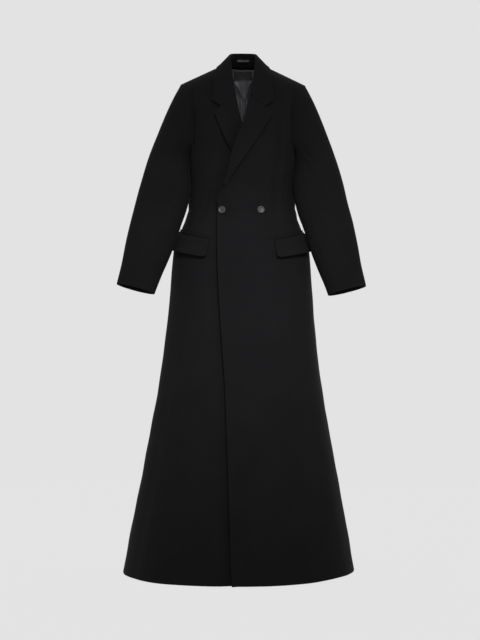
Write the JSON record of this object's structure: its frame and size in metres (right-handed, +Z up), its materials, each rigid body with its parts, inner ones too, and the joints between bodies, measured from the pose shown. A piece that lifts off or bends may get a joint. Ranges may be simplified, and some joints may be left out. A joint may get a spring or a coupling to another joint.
{
  "type": "maxi coat",
  "caption": "Floor-length flared coat in black wool, double-breasted, with notch lapels, slanted flap pockets and a satin back lining, hollow as worn.",
  "frame": {"origin": "midway between the two points where the shoulder seams meet the collar, where a wearer's shoulders carry the coat", "axes": "+Z up along the coat, -Y out of its front, +X towards the wearer's left"},
  "size_m": [0.7444, 0.5547, 1.579],
  "materials": {
    "wool": "matt, with a soft raised nap",
    "lining": "satin",
    "label": "woven, matt",
    "horn": "polished"
  },
  "bodies": {
    "root": {"front_left": "wool", "front_right": "wool", "side_left": "wool", "side_right": "wool", "back_left": "wool", "back_right": "wool", "sleeve_left_top": "wool", "sleeve_left_under": "wool", "sleeve_right_top": "wool", "sleeve_right_under": "wool", "lapel_left": "wool", "lapel_right": "wool", "collar": "wool", "pocket_flap_left": "wool", "pocket_flap_right": "wool", "pocket_jet_left": "wool", "pocket_jet_right": "wool", "button_fastened": "horn", "button_show": "horn", "back_lining": "lining", "hanger_loop": "lining", "neck_label": "label"}
  },
  "joints": []
}
